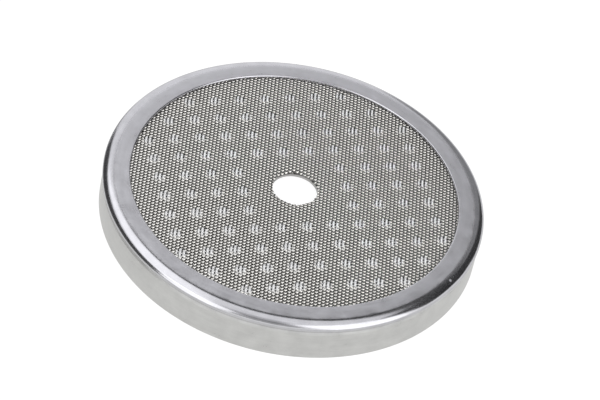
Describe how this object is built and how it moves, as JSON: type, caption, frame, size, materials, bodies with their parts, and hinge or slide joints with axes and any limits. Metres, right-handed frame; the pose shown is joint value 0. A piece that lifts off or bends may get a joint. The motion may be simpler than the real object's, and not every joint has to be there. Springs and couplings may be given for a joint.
{
  "type": "espresso shower screen",
  "caption": "Round shower screen for an espresso group: rolled steel bezel ring with a skirt, clamping a woven cloth and a perforated backing plate with a screw hole in the middle.",
  "frame": {"origin": "centre of the foot of the skirt, on the axis", "axes": "+Z along the axis, towards the woven face that meets the coffee; +X is one direction in the plane of the foot, with the rows of spray holes turned 22 degrees from it"},
  "size_m": [0.057, 0.057, 0.0066],
  "materials": {
    "bezel_steel": "satin on the lip and skirt, polished on the rolled shoulder",
    "wire_steel": "drawn wire, satin",
    "plate_steel": "cold rolled, dull"
  },
  "bodies": {
    "root": {"bezel_ring": "bezel_steel", "woven_cloth": "wire_steel", "perforated_plate": "plate_steel"}
  },
  "joints": []
}
